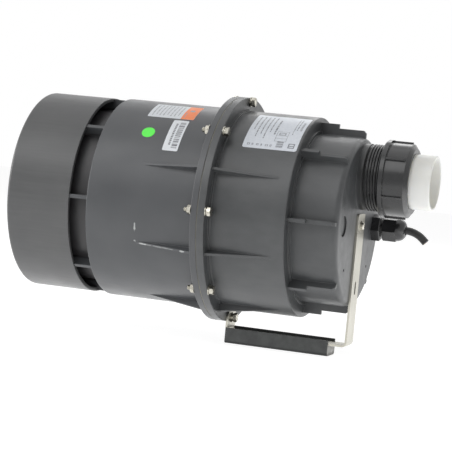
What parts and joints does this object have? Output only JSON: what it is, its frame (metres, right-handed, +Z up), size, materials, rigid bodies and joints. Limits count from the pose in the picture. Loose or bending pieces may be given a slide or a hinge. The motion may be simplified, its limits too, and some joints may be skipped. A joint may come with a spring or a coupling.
{
  "type": "air blower",
  "caption": "Cylindrical air blower: bolted moulded casings, a capped intake gap at one end, a threaded outlet union and a cable gland at the other, on a strap bracket with a rubber foot.",
  "frame": {"origin": "middle of the rubber foot's underside, the face that is screwed down", "axes": "+X along the blower's axis towards the outlet union, +Z up from the foot to the blower's axis"},
  "size_m": [0.399, 0.222, 0.2414],
  "materials": {
    "casing_plastic": "fine matte moulding, bluish charcoal",
    "cover_plastic": "fine matte moulding, charcoal",
    "union_plastic": "smooth black moulding with a soft gloss",
    "gland_plastic": "black polyamide, soft gloss",
    "tail_plastic": "off-white pipe fitting plastic, satin",
    "inner_plastic": "black glass-filled moulding",
    "block_plastic": "cream terminal block",
    "zinc_steel": "bright zinc plate",
    "strap_steel": "stainless strap, satin",
    "sheet_steel": "drawn and plated sheet steel",
    "bearing_steel": "ground steel",
    "lamination_steel": "stacked electrical steel",
    "cast_aluminium": "die cast",
    "fan_aluminium": "pressed sheet",
    "copper_wire": "enamelled copper",
    "brass_screw": "brass",
    "carbon": "carbon brush",
    "foam": "open-cell acoustic foam",
    "seal_rubber": "black seal rubber",
    "foot_rubber": "dark charcoal rubber",
    "cable_rubber": "black cable sheath"
  },
  "bodies": {
    "housing": {"motor_casing": "casing_plastic", "outlet_casing": "casing_plastic", "intake_cover": "cover_plastic", "cover_screws": "zinc_steel", "flange_bolts": "zinc_steel", "flange_washers": "zinc_steel", "flange_nuts": "zinc_steel", "bracket_screw": "zinc_steel", "bracket_washer": "zinc_steel", "mounting_bracket": "strap_steel", "rubber_foot": "foot_rubber", "casing_seal": "seal_rubber", "union_seal": "seal_rubber", "gland_seal": "seal_rubber", "front_mount": "seal_rubber", "rear_mount": "seal_rubber", "intake_foam": "foam", "outlet_foam": "foam", "gland_body": "gland_plastic", "gland_nut": "gland_plastic", "gland_locknut": "gland_plastic", "power_cable": "cable_rubber", "motor_leads": "cable_rubber", "rear_support": "inner_plastic", "terminal_block": "block_plastic", "terminal_screws": "brass_screw", "fan_shell": "sheet_steel", "stage_diffuser": "fan_aluminium", "rear_diffuser": "fan_aluminium", "front_frame": "cast_aluminium", "rear_frame": "cast_aluminium", "motor_screws": "zinc_steel", "stator_core": "lamination_steel", "field_coils": "copper_wire", "front_bearing": "bearing_steel", "rear_bearing": "bearing_steel", "brush_holders": "brass_screw", "carbon_brushes": "carbon", "brush_springs": "bearing_steel"},
    "rotor": {"motor_shaft": "bearing_steel", "armature_core": "lamination_steel", "armature_winding": "copper_wire", "commutator": "copper_wire", "front_race": "bearing_steel", "rear_race": "bearing_steel", "impeller_one": "fan_aluminium", "impeller_two": "fan_aluminium", "stage_spacer": "zinc_steel", "rear_spacer": "zinc_steel", "fan_nut": "zinc_steel"},
    "tail": {"tailpiece": "tail_plastic"},
    "nut": {"union_nut": "union_plastic"}
  },
  "joints": [
    {"name": "rotor_spin", "type": "hinge", "parent": "housing", "child": "rotor", "pos_m": [-0.06, 0, 0.1305], "axis": [1, 0, 0], "continuous": true},
    {"name": "union_slide", "type": "slide", "parent": "housing", "child": "tail", "axis": [1, 0, 0], "range_m": [0, 0.01238]},
    {"name": "nut_turn", "type": "hinge", "parent": "tail", "child": "nut", "pos_m": [0.095, 0, 0.1751], "axis": [1, 0, 0], "range_deg": [0, 1620]}
  ],
  "couplings": [
    {"joint": "nut_turn", "follows": "union_slide", "rad_per_m": 2284.8}
  ]
}
